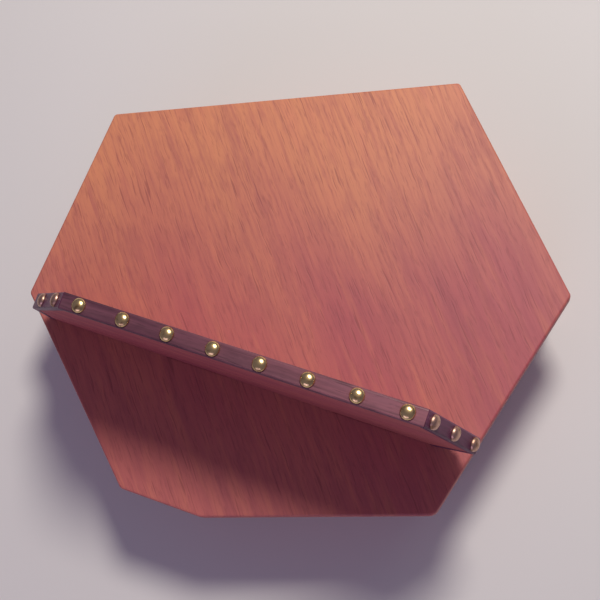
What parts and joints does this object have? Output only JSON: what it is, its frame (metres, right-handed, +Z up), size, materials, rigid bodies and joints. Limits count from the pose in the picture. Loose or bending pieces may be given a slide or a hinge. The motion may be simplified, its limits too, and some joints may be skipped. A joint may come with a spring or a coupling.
{
  "type": "hexagonal wooden puzzle box",
  "caption": "Low hexagonal wooden box with a lift-off lid; an upright stud-edged wooden fin on the lid slides along it to lock the lid to posts inside.",
  "frame": {"origin": "centre of the footprint, on the surface the box stands on", "axes": "+X the long way across the lid, +Y from the clipped front edge to the back, +Z up"},
  "size_m": [0.2482, 0.1948, 0.1303],
  "materials": {
    "panel_wood": "satin",
    "wall_wood": "satin",
    "band_wood": "gloss",
    "inner_wood": "satin",
    "spline_wood": "satin",
    "brass": "polished",
    "screw_brass": "satin",
    "lining_wood": "satin",
    "foot_wood": "satin"
  },
  "bodies": {
    "box": {"base_board": "wall_wood", "wall_right_front": "wall_wood", "wall_right_back": "wall_wood", "wall_back": "wall_wood", "wall_left_back": "wall_wood", "wall_left_front": "wall_wood", "wall_corner": "wall_wood", "wall_front": "wall_wood", "corner_splines": "spline_wood", "base_screws": "screw_brass", "foot_pads": "foot_wood", "foot_screws": "screw_brass", "divider_long": "inner_wood", "divider_cross": "inner_wood", "lock_posts": "brass", "lining_front": "lining_wood", "lining_back_left": "lining_wood", "lining_back_right": "lining_wood"},
    "lid": {"lid_board": "panel_wood", "lid_batten_back": "inner_wood", "lid_batten_front": "inner_wood", "batten_screws": "screw_brass"},
    "fin": {"fin_board": "panel_wood", "band_top": "band_wood", "band_left_upper": "band_wood", "band_left_lower": "band_wood", "band_right_upper": "band_wood", "band_right_lower": "band_wood", "studs_top": "brass", "studs_left_upper": "brass", "studs_left_lower": "brass", "studs_right_upper": "brass", "studs_right_lower": "brass", "lock_bar": "inner_wood", "bar_screws": "screw_brass"}
  },
  "joints": [
    {"name": "lid_lift", "type": "slide", "parent": "box", "child": "lid", "axis": [0, 0, 1], "range_m": [0, 0.06]},
    {"name": "fin_slide", "type": "slide", "parent": "lid", "child": "fin", "axis": [0.9424, -0.3345, 0], "range_m": [0, 0.008]}
  ]
}
